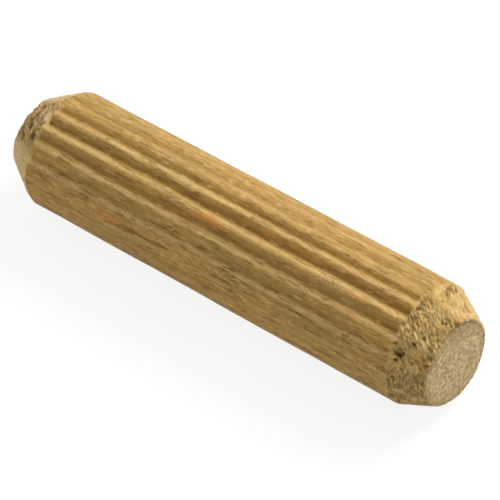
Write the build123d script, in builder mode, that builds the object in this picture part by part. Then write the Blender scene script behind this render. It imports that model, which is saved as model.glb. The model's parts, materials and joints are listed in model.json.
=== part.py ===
"""A fluted wooden dowel pin, chamfered at both ends and lying on its side.

One piece of beech.  The shank is round, with flutes rolled into it lengthwise and unevenly deep,
and its chamfers run out to a flat end face at each end.  The ends were cut by different tools:
the near one (+X) has a wide face that sits a little off centre, the far one (-X) a small face.

Frame: millimetres, +X along the pin, +Z up.  The origin is on the shank's axis at mid-length.
The pin rests on the two lands beside its lowest flute.
"""

import os
from math import cos, radians, tan

from build123d import *

# shank
length = 35.0
crest_diameter = 8.2  # over the lands: an 8 mm hole grips them

# flutes: V grooves rolled in by one wheel, so a shallow flute is also a narrow one
flute_half_angle = 57.0  # degrees, from a flute's middle plane to its wall
flute_floor_radius = 0.06
flute_lip_radius = 0.08
lowest = 0.36
deep = 0.30
middle = 0.16
shallow = 0.08

# one depth for each flute, from the lowest round through the front (-Y) and over the top
flute_depths = [lowest, middle, middle, shallow, shallow, shallow, shallow]
flute_depths += [middle, deep, deep, deep, shallow, shallow, shallow]
flute_depths += [middle] * 7

# near end, +X
near_face_diameter = 6.0
near_chamfer_run = 2.3  # along the pin
near_face_shift = (-0.15, -0.14)  # of the face's centre from the axis, in Y and Z

# far end, -X
far_face_diameter = 5.3
far_chamfer_run = 2.45
far_face_shift = (0.0, 0.0)

face_edge_radius = 0.18  # both end faces have a worn edge
clear = 1.0  # how far cutting shapes run past what they cut

crest_radius = crest_diameter / 2
flute_pitch = 360 / len(flute_depths)

# the shallowest flute's wall carries its lip's fillet and its floor's, which limits both
flute_wall = min(flute_depths) / cos(radians(flute_half_angle))
lip_limit = 0.6 * flute_wall / tan(radians(90 - flute_half_angle) / 2)
floor_limit = 0.3 * flute_wall * tan(radians(flute_half_angle))


def chamfer_section(end, run, face_diameter, shift, share):
    """The plane and radius of a chamfer's section: share 0 is its end face, 1 its full diameter."""
    radius = face_diameter / 2 + (crest_radius - face_diameter / 2) * share
    centre = Vector(end * (length / 2 - run * share), shift[0] * (1 - share), shift[1] * (1 - share))
    return Plane(origin=centre, x_dir=(0, 1, 0), z_dir=(1, 0, 0)), radius


# the turned blank, with its middle left oversize so that the flutes' lands keep their own surface
chamfers = {
    -1: (far_chamfer_run, far_face_diameter, far_face_shift),
    1: (near_chamfer_run, near_face_diameter, near_face_shift),
}
with BuildPart() as blank:
    inner_sections = []
    for end, (run, face_diameter, shift) in chamfers.items():
        past = 1 + clear / (crest_radius - face_diameter / 2)
        face_plane, face_radius = chamfer_section(end, run, face_diameter, shift, 0)
        inner_plane, inner_radius = chamfer_section(end, run, face_diameter, shift, past)
        with BuildSketch(face_plane):
            Circle(face_radius)
        with BuildSketch(inner_plane):
            Circle(inner_radius)
        loft(ruled=True)
        inner_sections.append((inner_plane, inner_radius))
    for plane, radius in inner_sections:
        with BuildSketch(plane):
            Circle(radius)
    loft(ruled=True)

# the shank's section: a circle with a V groove for each flute, its floor and lips rounded
with BuildPart() as dowel_pin:
    with BuildSketch(Plane.YZ) as section:
        Circle(crest_radius)
        for number, depth in enumerate(flute_depths):
            angle = -90 - number * flute_pitch
            mouth = (depth + clear) * tan(radians(flute_half_angle))
            with PolarLocations(crest_radius, 1, start_angle=angle):
                Polygon(
                    (-depth, 0),
                    (clear, -mouth),
                    (clear, mouth),
                    align=None,
                    mode=Mode.SUBTRACT,
                )
        flute_floors = section.vertices().filter_by(lambda v: Vector(v).length < crest_radius - 0.001)
        fillet(flute_floors, min(flute_floor_radius, floor_limit))
        flute_lips = section.vertices().filter_by(lambda v: Vector(v).length > crest_radius - 0.001)
        fillet(flute_lips, min(flute_lip_radius, lip_limit))
    extrude(amount=length / 2 + clear, both=True)
    add(blank.part, mode=Mode.INTERSECT)
    end_faces = dowel_pin.faces().filter_by(Axis.X).group_by(Axis.X)
    fillet(end_faces[0].edges() + end_faces[-1].edges(), face_edge_radius)

dowel_pin.part.label = "dowel_pin"
os.makedirs("parts", exist_ok=True)
export_step(dowel_pin.part, "parts/dowel_pin.step")
print(f"lands up to {crest_diameter} mm across, {len(flute_depths)} flutes, {length} mm long")
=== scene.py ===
"""A fluted beech dowel pin: its worn, torn and grained surface, and a small pale studio."""

import json

import bpy
import numpy as np
from mathutils import Matrix, Vector

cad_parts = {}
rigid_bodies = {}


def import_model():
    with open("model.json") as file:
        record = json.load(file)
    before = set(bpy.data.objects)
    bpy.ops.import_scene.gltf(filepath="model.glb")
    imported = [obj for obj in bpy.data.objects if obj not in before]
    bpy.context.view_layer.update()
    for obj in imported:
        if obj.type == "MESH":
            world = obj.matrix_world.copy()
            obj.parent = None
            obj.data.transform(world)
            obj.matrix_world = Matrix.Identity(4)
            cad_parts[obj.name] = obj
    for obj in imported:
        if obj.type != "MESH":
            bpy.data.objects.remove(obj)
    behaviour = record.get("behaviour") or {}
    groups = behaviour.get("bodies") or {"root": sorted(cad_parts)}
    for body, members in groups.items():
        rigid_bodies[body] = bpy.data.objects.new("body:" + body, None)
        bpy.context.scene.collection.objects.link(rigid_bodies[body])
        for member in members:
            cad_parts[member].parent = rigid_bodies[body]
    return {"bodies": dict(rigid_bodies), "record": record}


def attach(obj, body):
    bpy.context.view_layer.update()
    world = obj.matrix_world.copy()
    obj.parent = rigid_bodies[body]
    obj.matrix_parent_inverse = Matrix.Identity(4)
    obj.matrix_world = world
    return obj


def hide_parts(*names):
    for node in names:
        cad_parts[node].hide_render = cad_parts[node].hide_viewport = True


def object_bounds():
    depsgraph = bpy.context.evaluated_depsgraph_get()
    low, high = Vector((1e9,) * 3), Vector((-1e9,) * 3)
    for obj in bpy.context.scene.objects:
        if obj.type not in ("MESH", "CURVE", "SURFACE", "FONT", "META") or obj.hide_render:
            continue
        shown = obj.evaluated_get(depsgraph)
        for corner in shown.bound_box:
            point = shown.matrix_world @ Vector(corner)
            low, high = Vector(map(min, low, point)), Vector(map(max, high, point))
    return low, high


bl_info = {
    "name": "Fluted dowel pin",
    "version": (1, 0, 0),
    "blender": (4, 5, 0),
    "location": "View3D > Sidebar > Dowel pin",
    "description": "Makes a fluted wooden dowel pin with torn chamfers, and a studio around it",
    "category": "Add Mesh",
}

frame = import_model()
cad_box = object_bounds()

MM = 0.001
NODE = "dowel_pin"
BODY = next(iter(frame["bodies"]))
MOUNTS = {mount["name"]: mount for mount in frame["record"]["mounts"]}
CREST_RADIUS = MOUNTS["shank"]["dims"]["r_mm"]
NEAR_FACE = [1000 * value for value in MOUNTS["end_face_near"]["pos_m"]]
FAR_FACE = [1000 * value for value in MOUNTS["end_face_far"]["pos_m"]]
FLOOR_HEIGHT = cad_box[0].z

# The pin's places are an x in millimetres along it and an angle in degrees round it, from the top
# (+Z) through the front (-Y).  Flute 0 is the lowest, and the rest follow round through the front.
FLUTE_DEPTHS = [0.36, 0.17, 0.14, 0.08, 0.06, 0.06, 0.09, 0.18, 0.24, 0.33, 0.21]
FLUTE_DEPTHS += [0.09, 0.07, 0.08] + [0.17] * 7
FLUTE_PITCH = 360 / len(FLUTE_DEPTHS)

# Each mark: x, angle, half its length in mm, half its width in degrees, strength
WARM_STAINS = [
    (-0.35, 33.5, 1.5, 4.0, 1.0),
    (3.8, 18.5, 0.7, 2.0, 1.0),
    (6.9, 19.5, 1.6, 3.0, 0.6),
    (11.7, 32.5, 0.9, 2.0, 0.9),
    (11.5, 47.0, 0.6, 2.0, 0.7),
    (-7.8, 79.0, 1.7, 4.0, 0.6),
    (9.0, 58.0, 1.5, 3.0, 0.3),
    (16.6, -46.0, 0.8, 11.0, 0.8),
    (16.0, -24.0, 0.7, 9.0, 0.4),
    (-12.5, 99.0, 2.0, 6.0, 0.3),
]
DARK_FLECKS = [
    (-4.9, 79.5, 1.5, 1.0, 0.9),
    (-3.4, 78.5, 0.9, 1.3, 1.0),
    (-6.3, 82.0, 0.8, 1.0, 0.8),
    (0.8, 38.0, 0.4, 1.0, 0.9),
    (-7.5, 36.5, 0.8, 1.0, 0.7),
    (2.4, 92.0, 1.5, 0.9, 1.0),
    (3.9, 70.0, 0.7, 0.9, 0.8),
    (-2.2, 94.0, 0.6, 0.8, 0.8),
    (0.6, 96.5, 0.8, 0.8, 0.7),
    (10.6, 75.0, 1.2, 1.0, 0.6),
    (13.2, 71.5, 0.8, 0.9, 0.8),
    (5.4, 91.5, 0.8, 0.8, 0.6),
    (7.9, 91.0, 0.9, 0.8, 0.6),
    (-11.8, 88.0, 0.9, 0.9, 0.8),
    (-13.6, 75.0, 0.8, 1.0, 0.8),
    (-9.8, 66.0, 0.8, 0.8, 0.6),
    (2.9, 14.0, 1.0, 0.7, 0.6),
    (-12.2, 50.0, 0.7, 0.8, 0.6),
]
SMOOTH_CUTS = [
    (-15.2, 22.0, 0.75, 8.0, 1.0),
    (-16.6, 72.0, 2.5, 14.0, 0.8),
    (-15.1, 40.0, 0.3, 5.0, 0.7),
]
FACE_SHADES = [
    (17.5, -5.0, 1.0, 30.0, 0.9),
    (17.5, 165.0, 1.0, 40.0, 0.3),
]
# The chamfer pits are sunk, and their floors are also darkened as painted shade.
CHAMFER_PITS = [
    (15.66, 63.0, 0.16, 2.2, 1.0),
    (15.50, 67.0, 0.12, 1.8, 0.9),
    (15.42, 61.0, 0.10, 1.4, 0.7),
    (15.80, 59.0, 0.09, 1.6, 0.8),
    (16.20, 46.0, 0.13, 2.0, 0.9),
    (16.05, 50.0, 0.08, 1.6, 0.7),
    (16.97, 6.0, 0.15, 2.2, 0.9),
    (16.80, 9.0, 0.09, 1.6, 0.6),
    (16.55, 36.0, 0.10, 1.8, 0.6),
    (15.95, 74.0, 0.08, 1.4, 0.7),
    (16.45, 66.0, 0.09, 1.5, 0.6),
    (15.30, 88.0, 0.12, 1.6, 0.6),
    (15.55, 84.0, 0.08, 1.3, 0.6),
    (-16.50, 20.0, 0.25, 5.0, 0.9),
    (-16.35, 36.0, 0.20, 6.0, 1.0),
    (-15.75, 44.0, 0.20, 3.5, 0.9),
    (-16.60, 50.0, 0.20, 5.0, 0.7),
]


# ---------------------------------------------------------------------------------------------
# Shapes


def noise(u, v, seed, wrap=512):
    """Smooth noise from -1 to 1: a random number at every whole (u, v), eased from one to the next.

    After wrap cells, v comes round to its start."""
    table = np.random.default_rng(seed).uniform(-1, 1, (512, wrap))
    column, row = np.floor(u).astype(int), np.floor(v).astype(int)
    s, t = u - column, v - row
    s, t = s * s * (3 - 2 * s), t * t * (3 - 2 * t)

    def corner(du, dv):
        return table[(column + du) % 512, (row + dv) % wrap]

    low = corner(0, 0) * (1 - s) + corner(1, 0) * s
    high = corner(0, 1) * (1 - s) + corner(1, 1) * s
    return low * (1 - t) + high * t


def round_noise(x, angle, length, width, seed):
    """Noise on the pin's skin, in cells of length mm along it and about width mm round it."""
    cells = max(3, round(2 * np.pi * CREST_RADIUS / width))
    return noise(x / length, angle / 360 * cells, seed, cells)


def ease(value, start, stop):
    """0 before start, 1 after stop, and a smooth s-curve between them."""
    t = np.clip((value - start) / (stop - start), 0, 1)
    return t * t * (3 - 2 * t)


def turned(angle, centre):
    """Degrees from centre to angle, the short way round, from -180 to 180."""
    return (angle - centre + 180) % 360 - 180


def marks(x, angle, places, edge_seed):
    """The strongest of several soft oval marks at each point, their edges broken up by noise."""
    total = np.zeros_like(x)
    ragged = 0.45 * round_noise(x, angle, 0.5, 0.2, edge_seed)
    for place_x, place_angle, half_length, half_width, strength in places:
        along = (x - place_x) / half_length
        across = turned(angle, place_angle) / half_width
        reach = np.sqrt(along**2 + across**2) + ragged
        total = np.maximum(total, strength * (1 - ease(reach, 0.45, 1.15)))
    return total


def nearest_flute(x, angle):
    """The nearest flute's depth in mm, and how many degrees on from its middle each point lies.

    Depth and place wander a little along the pin, and the upper front ones are rolled a little high."""
    wander = 0.45 * round_noise(x, angle, 4.0, 1.5, 11) + 0.25 * round_noise(x, angle, 1.2, 0.6, 12)
    crowded = 1.8 * np.exp(-(turned(angle, 26) / 22) ** 2)
    from_bottom = (180 - angle - crowded + wander) / FLUTE_PITCH
    number = np.rint(from_bottom).astype(int)
    depth = np.asarray(FLUTE_DEPTHS)[number % len(FLUTE_DEPTHS)]
    depth = depth * (1 + 0.2 * round_noise(x, angle, 5.0, 1.2, 13))
    return depth, (number - from_bottom) * FLUTE_PITCH


def plugged(x, angle):
    """1 at each end of the upper flutes, where broken fibres close them, with a ragged start."""
    end = 0.12 * round_noise(0 * x + 0.5, angle, 1.0, 1.1, 14)
    end = end + 0.08 * round_noise(x, angle, 0.25, 0.25, 15)
    closed = np.maximum(ease(-x + end, 14.66, 14.78), ease(x + end, 14.86, 15.02))
    return closed * angle_window(angle, -110, 135)


def flute_depth(x, angle):
    """How far the flutes lie under the crest, in mm.  Each is a V, at least 0.5 mm wide and wider
    where it is deep, with its floor and lips rounded."""
    depth, on = nearest_flute(x, angle)
    half_width = np.sqrt(0.27**2 + (1.05 * depth) ** 2)
    off = np.radians(on) * CREST_RADIUS
    wall = depth * (1 - (np.sqrt(off**2 + 0.06**2) - 0.06) / half_width)
    lip = 0.22 * depth
    return ((wall + np.sqrt(wall**2 + lip**2)) / 2 - lip / 12) * (1 - 0.85 * plugged(x, angle))


def end_rows(run, face_radius, past, step, edge_radius, face_rows):
    """One end's profile from the face's centre outwards, as rows of (depth from the end, radius,
    outward normal along the pin, outward normal from the axis, share of the face's radius).

    The face is flat, its rim an arc, and the chamfer a straight cone that carries on past its run."""
    slope = np.arctan2(CREST_RADIUS - face_radius, run)
    arc_radius = face_radius - edge_radius * (1 - np.sin(slope)) / np.cos(slope)
    face = np.linspace(0, 1, face_rows, endpoint=False)[1:]
    rows = [np.stack([0 * face, arc_radius * face, 1 + 0 * face, 0 * face, face], 1)]
    turn = np.linspace(0, np.pi / 2 - slope, 6)
    arc = edge_radius * (1 - np.cos(turn)), arc_radius + edge_radius * np.sin(turn)
    rows.append(np.stack([*arc, np.cos(turn), np.sin(turn), 1 + 0 * turn], 1))
    first = edge_radius * (1 - np.sin(slope))
    depth = np.linspace(first, run + past, int((run + past - first) / step) + 1)[1:]
    radius = face_radius + (CREST_RADIUS - face_radius) * depth / run
    tilt = np.where(depth < run, slope, 0)
    rows.append(np.stack([depth, radius, np.sin(tilt), np.cos(tilt), 1 + 0 * depth], 1))
    return np.concatenate(rows)


def pin_profile(sizes):
    """The whole profile from the far face's centre to the near one's, with x in place of depth."""
    near = end_rows(sizes.near_chamfer_run / MM, sizes.near_face_diameter / MM / 2, 0.6,
                    sizes.near_step / MM, sizes.near_edge_radius / MM, sizes.near_rings)
    far = end_rows(sizes.far_chamfer_run / MM, sizes.far_face_diameter / MM / 2, 0.6,
                   sizes.far_step / MM, sizes.far_edge_radius / MM, sizes.far_rings)
    near[:, 0] = NEAR_FACE[0] - near[:, 0]
    far[:, 0] = FAR_FACE[0] + far[:, 0]
    far[:, 2] *= -1
    shank_x = np.linspace(far[-1, 0], near[-1, 0], sizes.shank_rows + 2)[1:-1]
    zero = 0 * shank_x
    shank = np.stack([shank_x, 2 * CREST_RADIUS + zero, zero, 1 + zero, 1 + zero], 1)
    return np.concatenate([far, shank, near[::-1]])


def torn_fibres(x, angle, seed):
    """Torn fibre ends from 0 to 1: fine broken ridges that cross the chamfer at about 45 degrees,
    crumbs of three sizes over them, and shallow hollows between bundles."""
    arc = np.radians(angle) * CREST_RADIUS * 0.87
    along, across = (x + arc) * 0.707, (x - arc) * 0.707
    bend = 0.22 * noise(along / 0.5, across / 0.5, seed)
    ridges = 1 - np.abs(noise(along / 0.5, (across + bend) / 0.19, seed + 1))
    crumbs = noise(x / 0.24, arc / 0.24, seed + 2) + 0.8 * noise(x / 0.13, arc / 0.13, seed + 3)
    bundles = noise(along / 0.7, (across + bend) / 0.42, seed + 4)
    ridged = ease(noise(x / 1.2, arc / 1.2, seed + 5), -0.5, 0.4)
    return np.clip(0.5 * ridges**2 * ridged + 0.11 * crumbs + 0.26 * bundles + 0.38 - 0.15 * ridged, 0, 1)


def pin_surface(sizes):
    """Every row and column of the pin's skin as points in mm, with its masks.

    The base is a surface of revolution: its profile carried round the axis, cut to the lower of the
    turned shape and the fluted shank.  Noise then sinks the skin along its normal, never lifts it."""
    profile = pin_profile(sizes)
    angles = np.arange(sizes.columns) * 360 / sizes.columns
    x, angle = np.meshgrid(profile[:, 0], angles, indexing="ij")
    radius, normal_x, normal_r, ring = (
        np.repeat(profile[:, k:k + 1], sizes.columns, 1) for k in (1, 2, 3, 4))
    near, far = x > 0, x < 0
    near_run, far_run = sizes.near_chamfer_run / MM, sizes.far_chamfer_run / MM
    near_depth, far_depth = NEAR_FACE[0] - x, x - FAR_FACE[0]
    chamfer = np.clip(np.maximum(1 - near_depth / near_run, 1 - far_depth / far_run), 0, 1)

    # the near face's centre is off the axis, so its chamfer leans
    outward = np.stack([0 * x, -np.sin(np.radians(angle)), np.cos(np.radians(angle))], -1)
    lean = outward[..., 1] * NEAR_FACE[1] + outward[..., 2] * NEAR_FACE[2]
    rim = radius + near * chamfer * lean

    # each chamfer starts at a ragged line, and the rims are a little out of round
    ragged = 0.12 * np.abs(round_noise(x, angle, 0.3, 0.22, 21))
    ragged = ragged + 0.09 * np.abs(round_noise(x, angle, 2.0, 0.9, 22))
    uneven = 0.05 * (1 + round_noise(0 * x + 3.5, angle, 1.0, 3.0, 23))
    rim = rim - ragged * ease(chamfer, -0.2, 0.05) * (1 - ease(chamfer, 0.2, 0.6)) - uneven * chamfer
    skin = np.minimum(rim, CREST_RADIUS - flute_depth(x, angle))
    flute, on = nearest_flute(x, angle)
    plug = plugged(x, angle) * ease(flute, 0.12, 0.22) * np.exp(-(on / 5.5) ** 2)
    on_chamfer = np.maximum(ease(CREST_RADIUS - flute_depth(x, angle) - rim, -0.03, 0.05), plug)

    # how much each patch of chamfer is torn: the near end's front and top, the far end's upper front
    near_torn = ease(angle_window(angle, 5, 58), 0, 1) * near * 0.75
    far_torn = ease(angle_window(angle, 4, 48), 0, 1) * far * (1 - marks(x, angle, SMOOTH_CUTS, 45))
    plain = (0.25 + 0.2 * ease(angle_window(angle, -60, 0), 0, 1)) * near + 0.12 * far
    torn = on_chamfer * np.clip(plain + near_torn + far_torn, 0, 1) * ease(ring, 0.86, 1.0)
    fibres = torn_fibres(x, angle, 31)
    pits = marks(x, angle, CHAMFER_PITS, 41)
    flecks = marks(x, angle, DARK_FLECKS, 42)
    sink = torn * (0.02 + (0.17 + 0.07 * near) * (1 - fibres))
    sink += 0.22 * pits * on_chamfer

    # the shank: long shallow waves, broken lines of grain and dents at the flecks
    shank = 1 - on_chamfer
    waves = 0.018 * (1 + round_noise(x, angle, 3.0, 1.0, 51))
    lines = round_noise(x, angle, 1.6, 0.14, 52) + 0.2 * round_noise(x, angle, 0.4, 0.14, 53)
    grain = 0.014 * np.clip(lines, 0, 1)
    sink += shank * (waves + grain + 0.05 * flecks)

    # the end faces are cut across the fibres, which stand up in a fine fuzz
    face_y, face_z = outward[..., 1] * radius * ring, outward[..., 2] * radius * ring
    fuzz = noise(face_y / 0.16 + 100, face_z / 0.16 + 100, 61)
    fuzz = fuzz + 0.6 * noise(face_y / 0.5 + 90, face_z / 0.5 + 90, 62)
    on_face = np.abs(normal_x) > 0.98
    sink = np.where(on_face, 0.035 * (1 + 0.6 * fuzz) + sink * ease(ring, 0.9, 1.0), sink)

    centre = np.where(near[..., None], np.array([0, NEAR_FACE[1], NEAR_FACE[2]]), 0.0)
    near_rim, far_rim = rim[profile_row(profile, near=True)], rim[profile_row(profile, near=False)]
    rim_row = np.where(near, near_rim[None, :], far_rim[None, :])
    rim_points = outward * rim_row[..., None]
    flat = centre * (1 - ring[..., None]) + rim_points * ring[..., None]
    points = np.where((ring < 1)[..., None], flat, outward * skin[..., None])
    points[..., 0] = x
    normal = outward * normal_r[..., None] + np.array([1, 0, 0]) * normal_x[..., None]
    points = points - sink[..., None] * normal

    lower = ease(angle_window(angle, 80, 125), 0, 1)
    masks = {
        "torn": torn,
        # the torn fibres' relief height, which also darkens the colour in the hollows as painted shade
        "fibre": 0.4 + (fibres - 0.4) * (0.15 + 0.85 * torn),
        # dark flecks on the shank, and painted shade on the chamfer pits' floors
        "pit_dark_and_shade": np.maximum(pits * on_chamfer, flecks * shank),
        "warm": marks(x, angle, WARM_STAINS, 43),
        # flute floors: partly a real stain, partly painted shade on each flute's shadowed side
        "valley_stain_and_shade": shank * ease(flute, 0.0, 0.3) * np.exp(-((on + 1.0) / 3.4) ** 2),
        "coarse": ease(angle_window(angle, 66, 125), 0, 1),
        "sliced": far * on_chamfer * (1 - far_torn) * ease(ring, 0.9, 1.0),
        # painted highlight on each flute's lit wall, partly rubbed pale crests
        "crest": shank * ease(flute, 0.05, 0.2) * np.exp(-((on - 6.0) / 2.6) ** 2),
        "shade": marks(x, angle, FACE_SHADES, 44) * ease(ring, 0.4, 0.8),
        "face": ease(np.abs(normal_x), 0.55, 1.0) * (1 - 0.7 * torn),
        # painted shade on the near chamfer's lower side
        "shaded_lower_chamfer": near * on_chamfer * lower * (1 - ease(np.abs(normal_x), 0.6, 0.9)),
        "chamfer": on_chamfer * (ring > 0.97),
    }
    return points, masks


def angle_window(angle, low, high):
    """1 between two angles, falling to 0 over the 18 degrees outside each."""
    centre, half = (low + high) / 2, (high - low) / 2
    return 1 - np.clip((np.abs(turned(angle, centre)) - half) / 18, 0, 1)


def skin_place(points):
    """Where each point lies on the unrolled skin: mm along the pin, and mm round it from the top.
    The poles come last."""
    arc = np.arctan2(-points[..., 1], points[..., 2]) * CREST_RADIUS
    places = np.stack([points[..., 0], arc, 0 * arc], -1).reshape(-1, 3)
    return np.concatenate([places, places[:1], places[-1:]])


def profile_row(profile, near):
    """The index of the row where an end's face meets its rounded rim."""
    rows = np.flatnonzero((profile[:, 4] >= 1) & ((profile[:, 0] > 0) == near))
    return rows[-1] if near else rows[0]


def closed_skin(points, far_pole, near_pole):
    """Quads between all rows and round all columns, and a fan of triangles to each pole."""
    rows, columns = points.shape[:2]
    index = np.arange(rows * columns).reshape(rows, columns)
    after = np.roll(index, -1, 1)
    quads = np.stack([index[:-1], index[1:], after[1:], after[:-1]], -1).reshape(-1, 4)
    far_fan = np.stack([index[0], after[0], np.full(columns, rows * columns)], -1)
    near_fan = np.stack([after[-1], index[-1], np.full(columns, rows * columns + 1)], -1)
    vertices = np.concatenate([points.reshape(-1, 3), [far_pole, near_pole]])
    return vertices, quads, np.concatenate([far_fan, near_fan])


def mesh_from_arrays(name, vertices, quads, triangles):
    """A mesh from whole arrays of points in metres, quads and triangles."""
    mesh = bpy.data.meshes.new(name)
    sizes = np.concatenate([np.full(len(quads), 4), np.full(len(triangles), 3)])
    corners = np.concatenate([quads.ravel(), triangles.ravel()])
    mesh.vertices.add(len(vertices))
    mesh.vertices.foreach_set("co", vertices.astype(np.float32).ravel())
    mesh.loops.add(len(corners))
    mesh.loops.foreach_set("vertex_index", corners.astype(np.int32))
    mesh.polygons.add(len(sizes))
    mesh.polygons.foreach_set("loop_start", np.concatenate([[0], np.cumsum(sizes)[:-1]]).astype(np.int32))
    mesh.update(calc_edges=True)
    mesh.validate()
    mesh.polygons.foreach_set("use_smooth", np.ones(len(sizes), bool))
    mesh.update()
    return mesh


# ---------------------------------------------------------------------------------------------
# Materials


class Socket:
    """A node's output or a number, so that shader maths can be written as an expression."""

    def __init__(self, material, value):
        self.material, self.value = material, value

    def math(self, operation, *others):
        sockets = dict(enumerate((self, *others)))
        return self.material.node("ShaderNodeMath", {"operation": operation}, sockets)

    def __add__(self, other):
        return self.math("ADD", other)

    def __sub__(self, other):
        return self.math("SUBTRACT", other)

    def __rsub__(self, other):
        return self.material.wrap(other).math("SUBTRACT", self)

    def __mul__(self, other):
        return self.math("MULTIPLY", other)

    __radd__, __rmul__ = __add__, __mul__

    def between(self, low, high):
        """0 at low and less, 1 at high and more, in a straight line between."""
        settings = {"clamp": True}
        sockets = {"Value": self, "From Min": low, "From Max": high}
        return self.material.node("ShaderNodeMapRange", settings, sockets)


class Finish:
    """A material or the surroundings, and the one method that adds a node to it."""

    def __init__(self, data):
        self.data = data
        self.data.use_nodes = True
        self.tree = self.data.node_tree
        self.tree.nodes.clear()

    def wrap(self, value):
        return value if isinstance(value, Socket) else Socket(self, value)

    def node(self, kind, settings=None, sockets=None, output=0):
        """Adds a node, makes its settings, sets or links its sockets, and gives an output if any."""
        node = self.tree.nodes.new(kind)
        for name, value in (settings or {}).items():
            setattr(node, name, value)
        for name, value in (sockets or {}).items():
            value = value.value if isinstance(value, Socket) else value
            if isinstance(value, bpy.types.NodeSocket):
                self.tree.links.new(value, node.inputs[name])
            else:
                node.inputs[name].default_value = value
        return Socket(self, node.outputs[output]) if node.outputs else None

    def place(self, scale):
        """Object coordinates in mm, scaled on each axis."""
        where = self.node("ShaderNodeTexCoord", output="Object")
        return self.node("ShaderNodeMapping", None, {"Vector": where, "Scale": [1000 * s for s in scale]})

    def noise(self, scale, detail=3.0, roughness=0.5, distortion=0.0):
        """Noise with scale cells to a mm on each axis, from about 0.2 to 0.8."""
        settings = {"noise_dimensions": "3D"}
        sockets = {"Vector": self.place(scale), "Scale": 1.0, "Detail": detail}
        sockets |= {"Roughness": roughness, "Distortion": distortion}
        return self.node("ShaderNodeTexNoise", settings, sockets)

    def skin_noise(self, cell, turn, detail=2.0, roughness=0.6):
        """Noise on the unrolled skin in cells of so many mm, turned by some degrees."""
        place = self.node("ShaderNodeAttribute", {"attribute_name": "skin_place"}, output="Vector")
        sockets = {"Vector": place, "Rotation": (0, 0, np.radians(turn)), "Scale": (*cell, 1)}
        place = self.node("ShaderNodeMapping", {"vector_type": "TEXTURE"}, sockets)
        sockets = {"Vector": place, "Scale": 1.0, "Detail": detail, "Roughness": roughness}
        return self.node("ShaderNodeTexNoise", {"noise_dimensions": "3D"}, sockets)

    def mask(self, name):
        """One of the skin's own masks, from 0 to 1."""
        return self.node("ShaderNodeAttribute", {"attribute_name": name}, output="Fac")

    def mix(self, share, first, second, blend="MIX"):
        """Two colours mixed by share."""
        settings = {"data_type": "RGBA", "blend_type": blend, "clamp_factor": True}
        return self.node("ShaderNodeMix", settings, {0: share, 6: first, 7: second}, output=2)

    def seen(self):
        """1 for what the camera sees, straight or by a mirror or through glass, and 0 for light."""
        kinds = ("Camera", "Glossy", "Transmission")
        rays = [self.node("ShaderNodeLightPath", output=f"Is {kind} Ray") for kind in kinds]
        return sum(rays[1:], rays[0]).between(0, 1)

    def surface(self, shader, output_kind="ShaderNodeOutputMaterial"):
        """Joins a shader to the output and gives the finished material or surroundings."""
        self.node(output_kind, None, {"Surface": shader})
        return self.data


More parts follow.
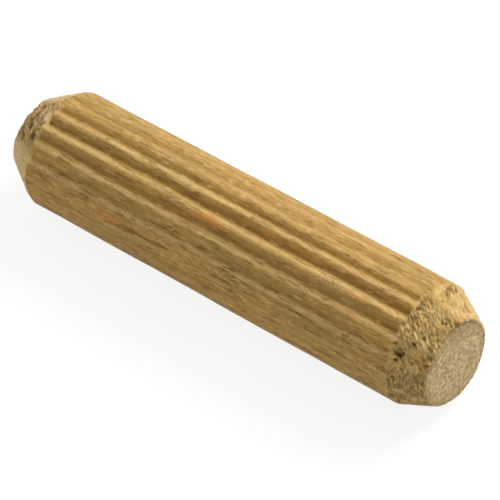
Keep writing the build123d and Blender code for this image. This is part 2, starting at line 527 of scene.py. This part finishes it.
def beech(colours):
    """Bare beech: streaks and pores along the pin, rays as short brown flecks, cut ends greyer."""
    wood = Finish(bpy.data.materials.new("beech"))
    streaks = wood.noise((0.05, 1.3, 1.3), 4.0, 0.6, 0.3).between(0.36, 0.64)
    fine = wood.noise((0.7, 5.2, 5.2), 4.0, 0.75).between(0.38, 0.62)
    patches = wood.noise((0.16, 0.35, 0.35), 2.0).between(0.38, 0.62)
    rays = wood.noise((0.55, 4.2, 4.2), 3.0, 0.7).between(0.56, 0.60)
    pores = wood.noise((1.8, 6.0, 6.0), 2.0, 0.6).between(0.58, 0.64)
    pale = wood.noise((1.3, 5.0, 5.0), 2.0, 0.5, 0.2).between(0.58, 0.68)
    specks = wood.noise((4.6, 4.6, 4.6), 4.0, 0.8).between(0.44, 0.58)
    blotches = wood.noise((1.6, 1.6, 1.6), 3.0, 0.6).between(0.44, 0.60)
    holes = wood.noise((3.2, 3.2, 3.2), 2.0, 0.6).between(0.63, 0.68)
    strands = wood.skin_noise((0.75, 0.12), 45, 3.0, 0.6).between(0.42, 0.58)
    scratches = wood.skin_noise((0.11, 0.7), 0, 3.0, 0.7).between(0.44, 0.58)
    torn, fibre, face = wood.mask("torn"), wood.mask("fibre"), wood.mask("face")
    chamfer, shaded_lower_chamfer, coarse = wood.mask("chamfer"), wood.mask("shaded_lower_chamfer"), wood.mask("coarse")

    tone = wood.mix(streaks, list(colours.light), list(colours.brown))
    tone = wood.mix(patches * 0.6, tone, list(colours.olive))
    # painted shade in the flutes, over a real stain
    tone = wood.mix(wood.mask("valley_stain_and_shade") * 0.55, tone, list(colours.valley_stain_and_shade))
    # painted highlight along the flutes' lit walls, partly rubbed pale wood
    tone = wood.mix(wood.mask("crest") * 0.6, tone, list(colours.pale))
    tone = wood.mix(fine * (coarse * 0.1 + 0.3), tone, list(colours.dark))
    tone = wood.mix((rays * (coarse * 0.3 + 0.5) + pores * 0.4) * (1 - chamfer), tone, list(colours.dark))
    tone = wood.mix(pale * 0.35 * (1 - chamfer), tone, list(colours.pale))
    tone = wood.mix(wood.mask("warm") * 0.75, tone, list(colours.orange))
    # painted shade: the torn wood darkens where its fibres sink and in the strands' grooves
    rough = wood.mix(fibre.between(0.14, 0.42), list(colours.torn_dark_and_shade), list(colours.torn_light))
    rough = wood.mix(strands * 0.5 * torn + specks * 0.2, rough, list(colours.torn_dark_and_shade))
    rough = wood.mix(blotches * 0.45, rough, list(colours.honey), "MULTIPLY")
    tone = wood.mix(chamfer * 0.95, tone, rough)
    tone = wood.mix(wood.mask("sliced") * (1 - specks * 0.3), tone, list(colours.sliced))
    # painted shade on the near chamfer's lower side, streaked by scratches
    tone = wood.mix(shaded_lower_chamfer * (scratches * 0.6 + 0.35), tone, list(colours.shaded_lower_chamfer))
    cut = wood.mix(specks * 0.72, list(colours.end_grain), list(colours.end_dark))
    cut = wood.mix(blotches * 0.25 + wood.mask("shade") * 0.4, cut, list(colours.end_dark))
    cut = wood.mix(holes * 0.6, cut, list(colours.pit_dark_and_shade))
    tone = wood.mix(face, tone, cut)
    # real dark flecks, and painted shade in the chamfer pits
    tone = wood.mix(wood.mask("pit_dark_and_shade") * 0.75, tone, list(colours.pit_dark_and_shade))

    cut_relief = specks * 0.5 + strands * (-2.0) * torn + scratches * (-0.5) * shaded_lower_chamfer
    relief = fine * 0.6 + cut_relief * (chamfer + face)
    bump = wood.node("ShaderNodeBump", None, {"Strength": 1.0, "Distance": 0.06 * MM, "Height": relief})
    sockets = {"Base Color": tone, "Roughness": fine * 0.12 + 0.58, "Normal": bump}
    sockets |= {"Specular IOR Level": 0.25}
    return wood.surface(wood.node("ShaderNodeBsdfPrincipled", None, sockets))


def pale_floor(studio):
    """A matt white sheet that keeps shadows.  Where it is seen, not lit by, it is lifted to white."""
    sheet = Finish(bpy.data.materials.new("pale_floor"))
    matt = sheet.node("ShaderNodeBsdfDiffuse", None, {"Color": (0.85, 0.85, 0.85, 1)})
    white = sheet.node("ShaderNodeEmission", None, {"Color": (1, 1, 1, 1), "Strength": 1.03})
    sockets = {0: sheet.seen() * studio.floor_lift, 1: matt, 2: white}
    return sheet.surface(sheet.node("ShaderNodeMixShader", None, sockets))


# ---------------------------------------------------------------------------------------------
# The add-on


def length_property(name, description, default):
    """A length, with its default in mm."""
    return bpy.props.FloatProperty(
        name=name, description=description, default=default * MM, unit="LENGTH")


def angle_property(name, description, default):
    """An angle, with its default in degrees."""
    return bpy.props.FloatProperty(
        name=name, description=description, default=np.radians(default), subtype="ANGLE")


def number_property(name, description, default):
    return bpy.props.FloatProperty(name=name, description=description, default=default)


def count_property(name, description, default):
    return bpy.props.IntProperty(name=name, description=description, default=default)


def colour_property(name, description, default):
    return bpy.props.FloatVectorProperty(
        name=name, description=description, default=(*default, 1.0), size=4, subtype="COLOR", min=0, max=1)


class DowelSizes(bpy.types.PropertyGroup):
    """The pin's ends, and how finely its skin is divided."""

    near_chamfer_run: length_property("Near chamfer", "Length of the near chamfer along the pin", 2.3)
    near_face_diameter: length_property("Near face", "Diameter of the near end face", 6.0)
    near_edge_radius: length_property("Near rim", "Rounding of the near face's rim", 0.3)
    far_chamfer_run: length_property("Far chamfer", "Length of the far chamfer along the pin", 2.45)
    far_face_diameter: length_property("Far face", "Diameter of the far end face", 5.3)
    far_edge_radius: length_property("Far rim", "Rounding of the far face's rim", 0.25)
    near_step: length_property("Near step", "Distance between the near chamfer's rows", 0.045)
    far_step: length_property("Far step", "Distance between the far chamfer's rows", 0.06)
    columns: count_property("Columns", "Divisions round the pin", 400)
    shank_rows: count_property("Shank rows", "Divisions along the shank", 76)
    near_rings: count_property("Near rings", "Rings in the near end face", 26)
    far_rings: count_property("Far rings", "Rings in the far end face", 12)


class DowelColours(bpy.types.PropertyGroup):
    """The wood's colours, as linear values."""

    light: colour_property("Light", "The palest streaks", (0.63, 0.385, 0.125))
    brown: colour_property("Brown", "The darker streaks", (0.50, 0.285, 0.066))
    olive: colour_property("Olive", "Broad duller patches", (0.43, 0.30, 0.09))
    dark: colour_property("Dark", "Pores and rays", (0.21, 0.105, 0.018))
    # partly a real stain in the flutes, partly painted shade
    valley_stain_and_shade: colour_property("Valley", "Dust and burnish in the flutes", (0.31, 0.15, 0.024))
    orange: colour_property("Orange", "Warm stains", (0.66, 0.29, 0.07))
    # pale also paints the highlight on the flutes' lit walls
    pale: colour_property("Pale", "Light ticks in the grain, and the rubbed crests", (0.86, 0.60, 0.27))
    torn_light: colour_property("Torn light", "The tips of torn fibres", (1.0, 0.71, 0.30))
    # partly painted shade in the hollows between torn fibres
    torn_dark_and_shade: colour_property("Torn dark", "Between torn fibres", (0.27, 0.16, 0.042))
    honey: colour_property("Honey", "Yellow patches on the near chamfer", (0.98, 0.74, 0.40))
    # painted shade for the near chamfer's lower side
    shaded_lower_chamfer: colour_property("Burnished", "The near chamfer's rubbed lower side", (0.20, 0.135, 0.038))
    sliced: colour_property("Sliced", "The far chamfer's clean cut", (0.84, 0.62, 0.31))
    end_grain: colour_property("End grain", "Wood cut across its fibres", (0.82, 0.61, 0.33))
    end_dark: colour_property("End grain dark", "Open pores in the end grain", (0.28, 0.19, 0.08))
    # dark pores and flecks, and painted shade in the chamfer pits
    pit_dark_and_shade: colour_property("Pit", "The floors of pits", (0.13, 0.075, 0.02))


class DowelStudio(bpy.types.PropertyGroup):
    """The camera, lamps and floor."""

    camera_distance: length_property("Distance", "From the camera to the point it is aimed at", 232.37)
    camera_azimuth: angle_property("Azimuth", "How far round the camera stands, from the front", 43.47)
    camera_elevation: angle_property("Elevation", "How high the camera stands", 41.81)
    camera_roll: angle_property("Roll", "How far the camera leans to its left", 3.89)
    aim: bpy.props.FloatVectorProperty(
        name="Aim", description="The point that the camera is aimed at",
        default=(0.607 * MM, 0.154 * MM, -0.342 * MM), unit="LENGTH")
    lens: number_property("Lens", "Focal length in mm, on a 36 mm sensor", 264.65)
    key_power: number_property("Key", "Power of the lamp overhead, in watts", 1.0)
    front_power: number_property("Front", "Power of the lamp by the camera, in watts", 0.09)
    sky: number_property("Sky", "Strength of the white surroundings", 0.46)
    floor_lift: number_property("Floor lift", "How far the floor is lifted to white", 0.85)


class DOWEL_OT_pin(bpy.types.Operator):
    """Makes the dowel pin's skin in place of its plain solid"""

    bl_idname = "dowel.pin"
    bl_label = "Make dowel pin"

    def execute(self, context):
        points, masks = pin_surface(context.scene.dowel_sizes)
        far_pole = np.array(FAR_FACE) + [0.03, 0, 0]
        near_pole = np.array(NEAR_FACE) - [0.03, 0, 0]
        vertices, quads, triangles = closed_skin(points, far_pole, near_pole)
        mesh = mesh_from_arrays("fluted_pin", vertices * MM, quads, triangles)
        for name, values in masks.items():
            layer = mesh.attributes.new(name, "FLOAT", "POINT")
            ends = values[[0, -1]].mean(1)
            layer.data.foreach_set("value", np.concatenate([values.ravel(), ends]).astype(np.float32))
        place = mesh.attributes.new("skin_place", "FLOAT_VECTOR", "POINT")
        place.data.foreach_set("vector", skin_place(points).astype(np.float32).ravel())
        mesh.materials.append(beech(context.scene.dowel_colours))
        pin = bpy.data.objects.new("fluted_pin", mesh)
        context.scene.collection.objects.link(pin)
        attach(pin, BODY)
        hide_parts(NODE)
        return {"FINISHED"}


class DOWEL_OT_studio(bpy.types.Operator):
    """Makes the floor, the lamps and the camera"""

    bl_idname = "dowel.studio"
    bl_label = "Make studio"

    def execute(self, context):
        studio = context.scene.dowel_studio
        add_floor(context.scene, studio)
        add_lamp(context.scene, "overhead", (0.08, 0.20, 0.24), 0.14, studio.key_power)
        add_lamp(context.scene, "front", (0.16, -0.28, 0.14), 0.25, studio.front_power)
        add_sky(context.scene, studio.sky)
        add_camera(context.scene, studio)
        context.scene.view_settings.view_transform = "Standard"
        return {"FINISHED"}


def add_floor(scene, studio):
    """A flat square at the pin's lowest point."""
    half = 1.5
    corners = np.array([[-half, -half], [half, -half], [half, half], [-half, half]])
    vertices = np.column_stack([corners, np.full(4, FLOOR_HEIGHT)])
    mesh = mesh_from_arrays("floor", vertices, np.array([[0, 1, 2, 3]]), np.zeros((0, 3), int))
    mesh.materials.append(pale_floor(studio))
    floor = bpy.data.objects.new("floor", mesh)
    scene.collection.objects.link(floor)


def add_lamp(scene, name, place, size, power):
    """A square area lamp aimed at the pin."""
    lamp = bpy.data.lights.new(name, "AREA")
    lamp.size, lamp.energy = size, power
    holder = bpy.data.objects.new(name, lamp)
    towards_pin = Vector(place).to_track_quat("Z", "Y").to_matrix().to_4x4()
    holder.matrix_world = Matrix.Translation(place) @ towards_pin
    scene.collection.objects.link(holder)


def add_sky(scene, strength):
    """Surroundings that are plain white where they are seen, and a dimmer, slightly warm light."""
    sky = Finish(bpy.data.worlds.new("surroundings"))
    light = sky.node("ShaderNodeBackground", None, {"Color": (1, 0.96, 0.82, 1), "Strength": strength})
    white = sky.node("ShaderNodeBackground", None, {"Color": (1, 1, 1, 1), "Strength": 1.0})
    both = sky.node("ShaderNodeMixShader", None, {0: sky.seen(), 1: light, 2: white})
    scene.world = sky.surface(both, "ShaderNodeOutputWorld")


def add_camera(scene, studio):
    """A long lens, aimed at a point near the pin's middle and leaning a little."""
    data = bpy.data.cameras.new("camera")
    data.sensor_width, data.lens = 36.0, studio.lens
    data.clip_start, data.clip_end = 0.01, 10.0
    camera = bpy.data.objects.new("camera", data)
    turn = Matrix.Rotation(studio.camera_azimuth, 4, "Z")
    lift = Matrix.Rotation(np.pi / 2 - studio.camera_elevation, 4, "X")
    roll = Matrix.Rotation(-studio.camera_roll, 4, "Z")
    back = Matrix.Translation((0, 0, studio.camera_distance))
    camera.matrix_world = Matrix.Translation(studio.aim) @ turn @ lift @ back @ roll
    scene.collection.objects.link(camera)
    scene.camera = camera


class DOWEL_PT_panel(bpy.types.Panel):
    """Lists the pin and the studio"""

    bl_label = "Dowel pin"
    bl_idname = "DOWEL_PT_panel"
    bl_space_type = "VIEW_3D"
    bl_region_type = "UI"
    bl_category = "Dowel pin"

    def draw(self, context):
        for operator in (DOWEL_OT_pin, DOWEL_OT_studio):
            self.layout.operator(operator.bl_idname)


CLASSES = (DowelSizes, DowelColours, DowelStudio, DOWEL_OT_pin, DOWEL_OT_studio, DOWEL_PT_panel)


def register():
    for cls in CLASSES:
        bpy.utils.register_class(cls)
    bpy.types.Scene.dowel_sizes = bpy.props.PointerProperty(type=DowelSizes)
    bpy.types.Scene.dowel_colours = bpy.props.PointerProperty(type=DowelColours)
    bpy.types.Scene.dowel_studio = bpy.props.PointerProperty(type=DowelStudio)


def unregister():
    del bpy.types.Scene.dowel_sizes, bpy.types.Scene.dowel_colours, bpy.types.Scene.dowel_studio
    for cls in reversed(CLASSES):
        bpy.utils.unregister_class(cls)


def main():
    register()
    bpy.ops.dowel.pin()
    bpy.ops.dowel.studio()


if __name__ == "__main__":
    main()
